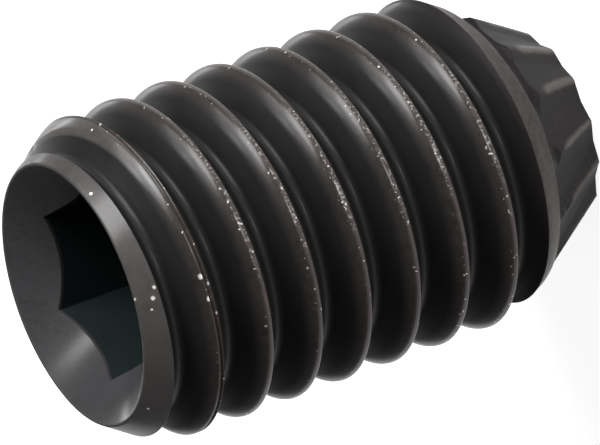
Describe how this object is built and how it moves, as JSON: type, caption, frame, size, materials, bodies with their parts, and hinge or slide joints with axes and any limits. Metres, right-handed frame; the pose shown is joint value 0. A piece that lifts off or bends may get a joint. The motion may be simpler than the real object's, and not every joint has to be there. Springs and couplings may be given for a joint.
{
  "type": "grub set screw",
  "caption": "Headless socket set screw with a right-hand metric thread, a countersunk hex socket in one end and a knurled cup point on the other, in black oxide steel.",
  "frame": {"origin": "on the screw's axis, in the plane of the cup's rim, which it stands on", "axes": "+Z along the axis from the cup point up to the hex socket"},
  "size_m": [0.006, 0.006, 0.0097],
  "materials": {
    "black_oxide_steel": "oiled black oxide, dull in the grooves and rubbed bright along the crests"
  },
  "bodies": {
    "root": {"grub_set_screw": "black_oxide_steel"}
  },
  "joints": []
}
